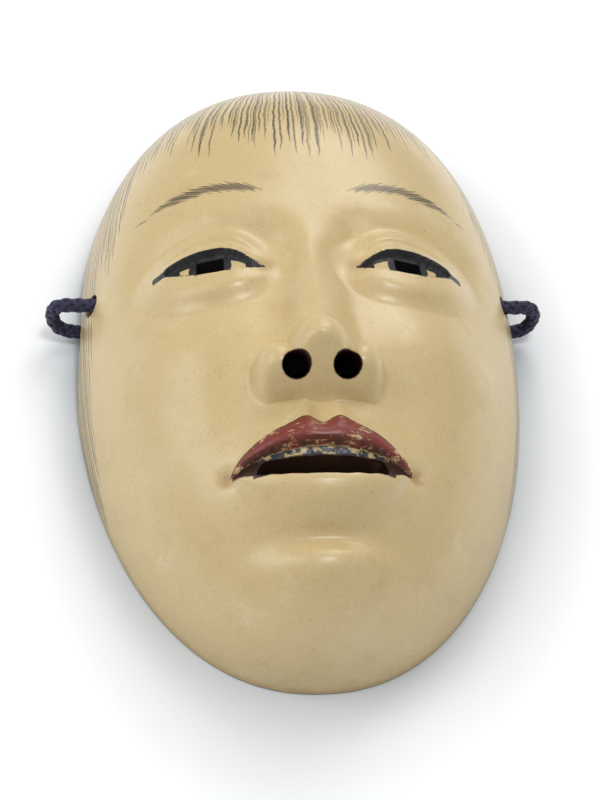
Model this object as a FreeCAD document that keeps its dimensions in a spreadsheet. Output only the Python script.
"""A carved and painted noh mask with its two silk cords.

Frame: +X is the right-hand side when looking at the face, +Y points to the crown, +Z out of
the face.  The origin lies on the rim plane, under the middle of the mask.  All sizes are
millimetres.

The wooden shell carries a painted shell-white coat in front and a lacquer coat behind.  Each of
the three layers is a closed solid between two of four sculpted faces, so that neighbouring
layers meet face to face.
"""
import FreeCAD
import Part
import math
import os

Vector = FreeCAD.Vector

SIZES = {
    # the whole mask
    "mask_height": 210.0,
    "mask_width": 137.0,
    "mask_depth": 50.0,           # rim plane to the plain dome, without the nose
    "widest_level": 12.0,         # height on the face of the widest place
    # the three layers
    "coat_thickness": 1.0,        # ground and paint on the front
    "wood_wall": 9.0,
    "lacquer_thickness": 0.45,
    "coat_setback": 0.5,          # both coats stop this far above the wooden rim
    # the face, as shares of the mask's width and height
    "eye_share": 0.2,             # from the middle plane to the eye's centre
    "nostril_drop_share": 0.2,
    "mouth_drop_share": 0.312,
    # openings of the face
    "pupil_width": 7.6,
    "pupil_height": 7.0,
    "nostril_radius": 3.6,
    "nostril_spacing": 13.0,
    "nostril_tilt": 32.0,
    "nostril_rise": 8.0,          # over the plain dome
    "nostril_reach": 28.0,        # each way from the middle of the bore
    "mouth_opening_width": 34.0,
    "mouth_opening_height": 5.4,
    # cord holes, and the arches that let the cords pass under the rim
    "cord_level": 12.0,
    "cord_hole_height": 17.0,
    "cord_hole_radius": 3.4,
    "arch_span": 60.0,
    "arch_rise": 8.0,
    # cords
    "cord_diameter": 4.5,
    "knot_radius": 8.4,
    "knot_offset": 42.0,          # from the middle plane to the knot's centre
    "knot_gap": 0.3,
    "coil_mean_radius": 25.0,
    "coil_half_width": 6.8,       # half the radial width of the put-away coil
    "coil_bottom": 0.55,
    "coil_height": 9.4,
    "tie_width": 5.0,
    "tie_thickness": 0.5,
    "whipping_length": 5.5,
    "whipping_wall": 0.6,
    "block_margin": 40.0,         # how far the cutting tools pass the shell
}

# The face is drawn on an oval of this half width and half height, and stretched to the mask.
OVAL_HALF_WIDTH = 68.5
OVAL_HALF_HEIGHT = 105.0
EYE_X = 2 * OVAL_HALF_WIDTH * SIZES["eye_share"]
MOUTH_Y = -2 * OVAL_HALF_HEIGHT * SIZES["mouth_drop_share"]
MOUTH_HALF = 23.5

# The faces are sampled along rays from a point this far under the rim plane.
RAY_ORIGIN = 70.0
# The dome's equator lies this far under the rim plane.
EQUATOR = 12.0
DOME_POWER = 2.1
OVAL_POWER = 2.2

# Halvings in the search for the dome's surface along a ray.
SEARCH_STEPS = 34

# An arc of a cord takes this share of the shorter run beside it.
RUN_SHARE = 0.45

# Cord routes, each from the knot, out of the hole, round the rim and back to the coil.  They
# are drawn for a mask of OVAL_HALF_WIDTH and a coil of DRAWN_COIL_RADIUS, and fitted to others:
# beyond KNOT_REACH from the middle a route moves out with the rim, and within COIL_REACH of a
# coil's centre it moves out with the coil.  Each move fades in over its FADE.
DRAWN_COIL_RADIUS = 25.0
KNOT_REACH = 42.0
KNOT_FADE = 20.0
COIL_REACH = 36.0
COIL_FADE = 12.0
LEFT_ROUTE = [
    (-43.5, 12.4, 12.0),
    (-50.5, 11.9, 16.8),
    (-57.5, 12.1, 17.2),
    (-64.5, 12.3, 17.1),
    (-71.7, 12.8, 16.7),
    (-73.6, 13.6, 10.6),
    (-71.4, 13.4, 4.5),
    (-63.0, 12.6, 4.2),
    (-50.0, 11.9, 4.3),
    (-37.0, 8.5, 3.7),
    (-23.0, 4.5, 3.1),
    (-8.0, 5.0, 2.9),
    (6.0, 12.0, 2.95),
    (14.5, 23.5, 2.9),
    (17.3, 35.5, 2.95),
    (17.5, 47.0, 2.9),
]
RIGHT_ROUTE = [
    (43.5, 12.4, 12.0),
    (50.5, 12.0, 16.8),
    (57.5, 11.8, 17.1),
    (64.0, 12.1, 17.0),
    (70.2, 12.6, 16.5),
    (72.0, 13.2, 10.6),
    (69.8, 13.3, 4.6),
    (61.5, 12.6, 4.2),
    (49.5, 12.2, 4.3),
    (36.0, 9.0, 3.7),
    (22.0, 4.5, 3.1),
    (7.0, -1.0, 2.9),
    (-8.0, -8.5, 2.95),
    (-16.2, -21.5, 2.9),
    (-17.5, -36.0, 2.9),
]
LEFT_TAIL = [
    (2.7, 72.5, 7.4),
    (-6.5, 78.3, 5.9),
    (-17.0, 83.0, 3.7),
    (-26.0, 81.5, 3.0),
]
RIGHT_TAIL = [
    (-2.7, -61.5, 7.4),
    (6.5, -67.3, 5.9),
    (17.0, -72.0, 3.7),
    (26.0, -70.5, 3.0),
]
CORDS = {
    "left": {"side": -1, "route": LEFT_ROUTE, "tail": LEFT_TAIL,
             "coil_centre": (-12.0, 47.0), "tie_turn": 200.0},
    "right": {"side": 1, "route": RIGHT_ROUTE, "tail": RIGHT_TAIL,
              "coil_centre": (12.0, -36.0), "tie_turn": 20.0},
}

document = FreeCAD.newDocument("noh_mask")


# ---------------------------------------------------------------- sheet and small helpers

def make_sheet():
    sheet = document.addObject("Spreadsheet::Sheet", "Sizes")
    for row, (name, value) in enumerate(SIZES.items(), 1):
        sheet.set(f"A{row}", name)
        sheet.set(f"B{row}", str(value))
        sheet.setAlias(f"B{row}", name)
    document.recompute()
    return sheet


SHEET = make_sheet()


def size(name):
    return float(SHEET.get(name))


size_half_width = size("mask_width") / 2
size_half_height = size("mask_height") / 2
size_depth = size("mask_depth")
size_widest = size("widest_level")
size_setback = size("coat_setback")


def primitive(kind, name, sizes, place=None):
    """A Part primitive whose sizes and place are expressions of the sheet."""
    item = document.addObject(kind, name)
    item.Label = name
    for prop, expression in sizes.items():
        item.setExpression(prop, expression)
    for axis, expression in (place or {}).items():
        item.setExpression(f"Placement.Base.{axis}", expression)
    return item


def turned(item, axis, angle):
    item.Placement = FreeCAD.Placement(item.Placement.Base, FreeCAD.Rotation(axis, angle))
    return item


def feature(name, shape):
    item = document.addObject("Part::Feature", name)
    item.Label = name
    item.Shape = shape
    item.Placement = FreeCAD.Placement()
    return item


def fused(name, items):
    item = document.addObject("Part::MultiFuse", name)
    item.Label = name
    item.Shapes = items
    return item


def cut(name, base, tool):
    item = document.addObject("Part::Cut", name)
    item.Label = name
    item.Base = base
    item.Tool = tool
    return item


# ---------------------------------------------------------------- the sculpted faces

def smooth_max(first, second, blend):
    share = min(max(0.5 + 0.5 * (first - second) / blend, 0.0), 1.0)
    return second + (first - second) * share + blend * share * (1 - share)


def smooth_min(first, second, blend):
    return -smooth_max(-first, -second, blend)


def smooth_step(start, end, value):
    share = min(max((value - start) / (end - start), 0.0), 1.0)
    return share * share * (3 - 2 * share)


def mound(x, y, x0, y0, width, height):
    return math.exp(-((x - x0) / width) ** 2 - ((y - y0) / height) ** 2)


def cap(x, y, x0, y0, width, height, rise):
    """A rounded cap over an ellipse, falling away outside it."""
    reach = ((x - x0) / width) ** 2 + ((y - y0) / height) ** 2
    top = math.sqrt(1 - min(reach, 0.9))
    return rise * (top - 1.2 * max(reach - 0.9, 0.0))


def egg_height(y, half_height):
    """From -1 at the chin over 0 at the widest level to 1 at the crown."""
    level = size_widest
    root = math.sqrt(max(half_height ** 2 - 4 * level * (y - level), 0.0))
    return (half_height - root) / (2 * level)


def dome_excess(x, y, z, inset):
    """Below nought inside the plain dome made smaller by inset, above nought outside."""
    full = size_depth - inset + EQUATOR
    lost = (EQUATOR / full) ** DOME_POWER
    across = abs(x) / (size_half_width - inset)
    along = egg_height(y, size_half_height - inset)
    radius = (across ** OVAL_POWER + abs(along) ** OVAL_POWER) ** (1 / OVAL_POWER)
    share = along * along / max(across * across + along * along, 1e-9)
    fullness = 2.35 + (1.2 - 0.65 * along) * share
    height = max(z + EQUATOR, 0.0) / full
    return radius ** fullness * (1 - lost) + height ** DOME_POWER - 1


def dome_point(s, t, inset):
    """A point of the dome: s and t run from -1 to 1, and the rim plane is at either end."""
    u = s * math.sqrt(1 - t * t / 2)
    v = t * math.sqrt(1 - s * s / 2)
    length = math.hypot(u, v)
    if length > 0:
        bulge = (abs(u / length) ** OVAL_POWER + abs(v / length) ** OVAL_POWER) ** (-1 / OVAL_POWER)
        u *= bulge
        v *= bulge
    p = u * (size_half_width - inset) / RAY_ORIGIN
    q = (size_widest * (1 - v * v) + (size_half_height - inset) * v) / RAY_ORIGIN
    near = RAY_ORIGIN
    far = RAY_ORIGIN + size_depth + 1
    for _ in range(SEARCH_STEPS):
        middle = (near + far) / 2
        if dome_excess(p * middle, q * middle, middle - RAY_ORIGIN, inset) < 0:
            near = middle
        else:
            far = middle
    return Vector(p * near, q * near, near - RAY_ORIGIN)


def nose(x, y):
    across = math.sqrt(x * x + 0.3)
    down = min(max((13 - y) / 50, 0.0), 1.3)
    ridge = (1.2 + 14.3 * down ** 1.5) * smooth_step(24, 4, y)
    half = 5.4 + 2.6 * down + 3.0 * smooth_step(14, 26, y)
    height = ridge * math.exp(-(across / half) ** 2.2)
    height = smooth_max(height, cap(x, y, 0, -36.0, 9.4, 10.0, 17.6), 3.0)
    height = smooth_max(height, cap(across, y, 11.3, -39.0, 6.4, 7.8, 10.2), 2.4)
    return max(smooth_min(height, (y + 47.0) * 1.9, 2.2), 0.0)


def mouth(x, y):
    """Upper and lower lip, and the hollow between them."""
    share = min(abs(x) / MOUTH_HALF, 1.0)
    side = math.sqrt(1 - share * share)
    fade = smooth_step(1.05, 0.85, abs(x) / MOUTH_HALF)
    upper = 3.0 * mound(0, y, 0, MOUTH_Y + 5.5 * side, 1, 3.8)
    lower = 4.0 * mound(0, y, 0, MOUTH_Y - 7.5 * side, 1, 4.6)
    hollow = 3.4 * mound(0, y, 0, MOUTH_Y, 1, 3.6)
    return (upper + lower - hollow) * side * fade


def eye(x, y):
    """The lids over the eyeball, without the fine edges."""
    return max(cap(abs(x), y, EYE_X, 0.5, 18.0, 12.5, 5.6), -0.6)


def broad_features(x, y):
    across = abs(x)
    return (1.8 * mound(x, y, 0, 56, 42, 28)
            - 5.6 * mound(across, y, 28, 4, 17, 11)
            - 3.6 * mound(across, y, 13.5, 4, 6.0, 9)
            + 1.2 * mound(across, y, 26, 21, 19, 6.5)
            + 3.2 * mound(across, y, 34, -27, 19, 15)
            - 1.5 * mound(across, y, 22, -50, 7, 14)
            + 4.6 * mound(x, y, 0, -63, 25, 16)
            + 10.0 * mound(x, y, 0, -92, 20, 12)
            - 3.4 * mound(x, y, 0, -81.5, 15, 4.0))


def front_features(x, y):
    return broad_features(x, y) + eye(x, y) + nose(x, y) + mouth(x, y)


def inner_features(x, y):
    """The hollow side follows the face in a softer way."""
    return 0.8 * broad_features(x, y) + 11.0 * mound(x, y, 0, -33, 12, 17)


def sculpted_point(s, t, inset, features):
    point = dome_point(s, t, inset)
    face_x = point.x / size_half_width * OVAL_HALF_WIDTH
    face_y = point.y / size_half_height * OVAL_HALF_HEIGHT
    point.z += features(face_x, face_y) * smooth_step(0, 16, point.z) + size_setback
    return point


def graded(fine_low, fine_high, fine, coarse):
    """Values from -1 to 1, closer together between fine_low and fine_high."""
    values = [-1.0]
    while values[-1] < 1 - coarse / 2:
        spacing = fine if fine_low <= values[-1] < fine_high else coarse
        values.append(min(values[-1] + spacing, 1.0))
    values[-1] = 1.0
    return values


def sculpted_face(inset, features):
    """A cubic spline face whose border is the rim outline."""
    grid = [[sculpted_point(s, t, inset, features) for t in ROWS] for s in COLUMNS]
    u_knots = list(range(len(COLUMNS) - 2))
    v_knots = list(range(len(ROWS) - 2))
    u_mults = [4] + [1] * (len(u_knots) - 2) + [4]
    v_mults = [4] + [1] * (len(v_knots) - 2) + [4]
    surface = Part.BSplineSurface()
    surface.buildFromPolesMultsKnots(grid, u_mults, v_mults, u_knots, v_knots,
                                     False, False, 3, 3)
    return surface.toShape()


def layer_between(outer, under):
    """A closed layer, and the flat rim face between its two sculpted faces."""
    borders = [Part.Wire(Part.__sortEdges__(face.Edges)) for face in (outer, under)]
    rim = Part.makeFace(borders, "Part::FaceMakerBullseye")
    shell = Part.Shell([outer, under, rim])
    shell.sewShape()
    solid = Part.Solid(Part.Shell(shell.Faces))
    if solid.Volume < 0:
        solid.reverse()
    return solid, rim


def mask_layers():
    """Painted coat, wood and lacquer, as three solids that share their faces.

    The wood alone reaches down to the rim plane.
    """
    coat = size("coat_thickness")
    inner = coat + size("wood_wall")
    faces = [
        sculpted_face(0.0, front_features),
        sculpted_face(coat, front_features),
        sculpted_face(inner, inner_features),
        sculpted_face(inner + size("lacquer_thickness"), inner_features),
    ]
    layers = []
    for outer, under in zip(faces, faces[1:]):
        solid, rim = layer_between(outer, under)
        layers.append(solid)
        if len(layers) == 2:
            foot = rim.extrude(Vector(0, 0, -size("coat_setback")))
            layers[1] = solid.fuse(foot).removeSplitter().Solids[0]
    return layers


COLUMNS = graded(-0.44, 0.44, 0.02, 0.045)
ROWS = graded(-0.62, 0.12, 0.0135, 0.032)


# ---------------------------------------------------------------- openings of the shell

def pupil_hole(side):
    return primitive("Part::Box", f"pupil_hole_{side_name(side)}", {
        "Length": "Sizes.pupil_width",
        "Width": "Sizes.pupil_height",
        "Height": "Sizes.mask_depth + Sizes.block_margin",
    }, {
        "x": f"{side} * Sizes.mask_width * Sizes.eye_share - Sizes.pupil_width / 2",
        "y": "-Sizes.pupil_height / 2",
    })


def nostril(side):
    """A slanted bore from the underside of the nose into the hollow."""
    hole = primitive("Part::Cylinder", f"nostril_{side_name(side)}", {
        "Radius": "Sizes.nostril_radius",
        "Height": "2 * Sizes.nostril_reach",
    }, {
        "x": f"{side} * Sizes.nostril_spacing / 2",
        "y": "-Sizes.mask_height * Sizes.nostril_drop_share"
             " + Sizes.nostril_reach * sin(Sizes.nostril_tilt)",
        "z": "Sizes.mask_depth + Sizes.nostril_rise"
             " - Sizes.nostril_reach * cos(Sizes.nostril_tilt)",
    })
    return turned(hole, Vector(1, 0, 0), size("nostril_tilt"))


def mouth_slit():
    """A slot with round ends between the lips."""
    across = "Sizes.mouth_opening_width / 2 - Sizes.mouth_opening_height / 2"
    level = "-Sizes.mask_height * Sizes.mouth_drop_share"
    full = "Sizes.mask_depth + Sizes.block_margin"
    pieces = [primitive("Part::Box", "mouth_slot", {
        "Length": f"2 * ({across})",
        "Width": "Sizes.mouth_opening_height",
        "Height": full,
    }, {
        "x": f"-({across})",
        "y": f"{level} - Sizes.mouth_opening_height / 2",
    })]
    for side in (-1, 1):
        pieces.append(primitive("Part::Cylinder", f"mouth_end_{side_name(side)}", {
            "Radius": "Sizes.mouth_opening_height / 2",
            "Height": full,
        }, {
            "x": f"{side} * ({across})",
            "y": level,
        }))
    return pieces


def knot_place(side):
    """The knot keeps its distance from the rim."""
    return f"{side} * (Sizes.mask_width / 2 - {OVAL_HALF_WIDTH} + Sizes.knot_offset)"


def cord_hole(side):
    hole = primitive("Part::Cylinder", f"cord_hole_{side_name(side)}", {
        "Radius": "Sizes.cord_hole_radius",
        "Height": f"{OVAL_HALF_WIDTH} - Sizes.knot_offset + Sizes.cord_diameter",
    }, {
        "x": knot_place(side),
        "y": "Sizes.cord_level",
        "z": "Sizes.cord_hole_height",
    })
    return turned(hole, Vector(0, 1, 0), 90 * side)


def rim_arches(name, extra="0"):
    """One wide cylinder lifts the rim on both sides, where the cords pass under it."""
    radius = "(Sizes.arch_span ^ 2 / 4 + Sizes.arch_rise ^ 2) / (2 * Sizes.arch_rise)"
    arch = primitive("Part::Cylinder", name, {
        "Radius": f"{radius} + {extra}",
        "Height": "2 * Sizes.mask_width",
    }, {
        "x": "-Sizes.mask_width",
        "y": "Sizes.cord_level",
        "z": f"Sizes.arch_rise - {radius}",
    })
    return turned(arch, Vector(0, 1, 0), 90)


def side_name(side):
    return "left" if side < 0 else "right"


def make_mask():
    openings = [make(side) for make in (pupil_hole, nostril, cord_hole) for side in (-1, 1)]
    openings += mouth_slit()
    openings.append(rim_arches("rim_arches"))
    tool = fused("mask_openings", openings)
    bare_arches = rim_arches("bare_arches", "Sizes.coat_setback")
    coat, wood, lacquer = mask_layers()
    wood_shell = cut("wood_shell", feature("wood_blank", wood), tool)
    pieces = [wood_shell]
    for name, layer in (("gofun_coat", coat), ("back_lacquer", lacquer)):
        pierced = cut(f"{name}_pierced", feature(f"{name}_blank", layer), tool)
        pieces.append(cut(name, pierced, bare_arches))
    return pieces


# ---------------------------------------------------------------- cords

def rounded_path(points):
    """Straight runs joined by tangent arcs, each as large as its two runs allow."""
    points = [Vector(*point) for point in points]
    edges = []
    radii = []
    start = points[0]
    for before, corner, after in zip(points, points[1:], points[2:]):
        incoming = (corner - before).normalize()
        outgoing = (after - corner).normalize()
        turn = incoming.getAngle(outgoing)
        reach = RUN_SHARE * min((corner - before).Length, (after - corner).Length)
        radii.append(reach / math.tan(turn / 2))
        first = corner - incoming * reach
        last = corner + outgoing * reach
        centre_way = (outgoing - incoming).normalize()
        middle = corner + centre_way * radii[-1] * (1 / math.cos(turn / 2) - 1)
        edges.append(Part.LineSegment(start, first).toShape())
        edges.append(Part.Arc(first, middle, last).toShape())
        start = last
    edges.append(Part.LineSegment(start, points[-1]).toShape())
    return Part.Wire(edges), radii


def share_between(start, end, value):
    return min(max((value - start) / (end - start), 0.0), 1.0)


def fitted(points, centre):
    """The drawn route moved to suit the mask's width and the coil's radius."""
    wider = size_half_width - OVAL_HALF_WIDTH
    larger = size("coil_mean_radius") - DRAWN_COIL_RADIUS
    moved = []
    for x, y, z in points:
        away = Vector(x - centre[0], y - centre[1], 0)
        out = share_between(KNOT_REACH - KNOT_FADE, KNOT_REACH, abs(x))
        off = share_between(COIL_REACH + COIL_FADE, COIL_REACH, away.Length)
        away.normalize()
        moved.append((x + math.copysign(wider * out, x) + away.x * larger * off,
                      y + away.y * larger * off, z))
    return moved


def tube(name, points):
    """A plain round cord along the route; prints its length, radii and volume ratio."""
    path, radii = rounded_path(points)
    radius = size("cord_diameter") / 2
    start = Vector(*points[0])
    ring = Part.Wire(Part.Circle(start, Vector(*points[1]) - start, radius).toShape())
    shape = path.makePipeShell([ring], True, False)
    ratio = shape.Volume / (math.pi * radius ** 2 * path.Length)
    print(f"{name}: length {path.Length:.1f}, volume over section times length {ratio:.4f}, "
          f"radii {[round(value, 1) for value in radii]}")
    return feature(name, shape)


def make_knot(name, side, route):
    ball = primitive("Part::Sphere", f"{name}_ball", {"Radius": "Sizes.knot_radius"}, {
        "x": knot_place(side),
        "y": "Sizes.cord_level",
        "z": "Sizes.knot_radius + Sizes.knot_gap",
    })
    turned(ball, Vector(0, 0, 1), 90)
    return cut(name, ball, route)


def make_ring(name, centre):
    """The outer shape of the put-away coil."""
    place = {"x": f"{centre[0]}", "y": f"{centre[1]}", "z": "Sizes.coil_bottom"}
    outer = primitive("Part::Cylinder", f"{name}_outside", {
        "Radius": "Sizes.coil_mean_radius + Sizes.coil_half_width",
        "Height": "Sizes.coil_height",
    }, place)
    inner = primitive("Part::Cylinder", f"{name}_inside", {
        "Radius": "Sizes.coil_mean_radius - Sizes.coil_half_width",
        "Height": "Sizes.coil_height",
    }, place)
    return cut(f"{name}_ring", outer, inner)


def make_tie(name, ring, centre, turn):
    """A flat band of thread round the coil at one place."""
    block = primitive("Part::Box", f"{name}_block", {
        "Length": "2 * Sizes.coil_half_width + 2 * Sizes.tie_thickness",
        "Width": "Sizes.tie_width",
        "Height": "Sizes.coil_height + 2 * Sizes.tie_thickness",
    })
    rotation = FreeCAD.Rotation(Vector(0, 0, 1), turn)
    inner_end = size("coil_mean_radius") - size("coil_half_width") - size("tie_thickness")
    corner = rotation.multVec(Vector(inner_end, -size("tie_width") / 2, 0))
    height = size("coil_bottom") - size("tie_thickness")
    block.Placement = FreeCAD.Placement(Vector(*centre, height) + corner, rotation)
    return cut(name, block, ring)


def make_whipping(name, tail, points):
    """A thread sleeve over the cord's end."""
    sleeve = primitive("Part::Cylinder", f"{name}_sleeve", {
        "Radius": "Sizes.cord_diameter / 2 + Sizes.whipping_wall",
        "Height": "Sizes.whipping_length",
    })
    end = Vector(*points[-1])
    way = (end - Vector(*points[-2])).normalize()
    start = end - way * (size("whipping_length") - size("whipping_wall"))
    sleeve.Placement = FreeCAD.Placement(start, FreeCAD.Rotation(Vector(0, 0, 1), way))
    return cut(name, sleeve, tail)


def make_cord(name, plan):
    route = tube(f"{name}_cord", fitted(plan["route"], plan["coil_centre"]))
    tail_points = fitted(plan["tail"], plan["coil_centre"])
    tail = tube(f"{name}_cord_tail", tail_points)
    ring = make_ring(f"{name}_coil", plan["coil_centre"])
    return [
        route,
        tail,
        make_knot(f"{name}_cord_knot", plan["side"], route),
        cut(f"{name}_cord_coil", ring, fused(f"{name}_cord_in_coil", [route, tail])),
        make_tie(f"{name}_coil_tie", ring, plan["coil_centre"], plan["tie_turn"]),
        make_whipping(f"{name}_cord_whipping", tail, tail_points),
    ]


# ---------------------------------------------------------------- checks and export

def check_document():
    for item in document.Objects:
        if "Invalid" in item.State or "Error" in item.State:
            raise RuntimeError(f"{item.Label} did not recompute: {item.State}")


def check_piece(item):
    shape = item.Shape
    if shape.isNull() or not shape.isValid() or len(shape.Solids) != 1 or shape.Volume <= 0:
        raise RuntimeError(f"{item.Label} is not one sound solid")


def main():
    pieces = make_mask()
    for name, plan in CORDS.items():
        pieces += make_cord(name, plan)
    document.recompute()
    check_document()
    for piece in pieces:
        check_piece(piece)
    os.makedirs("parts", exist_ok=True)
    for piece in pieces:
        piece.Shape.exportStep(f"parts/{piece.Label}.step")
        print(f"{piece.Label}: {piece.Shape.Volume / 1000:.2f} cm3")


main()
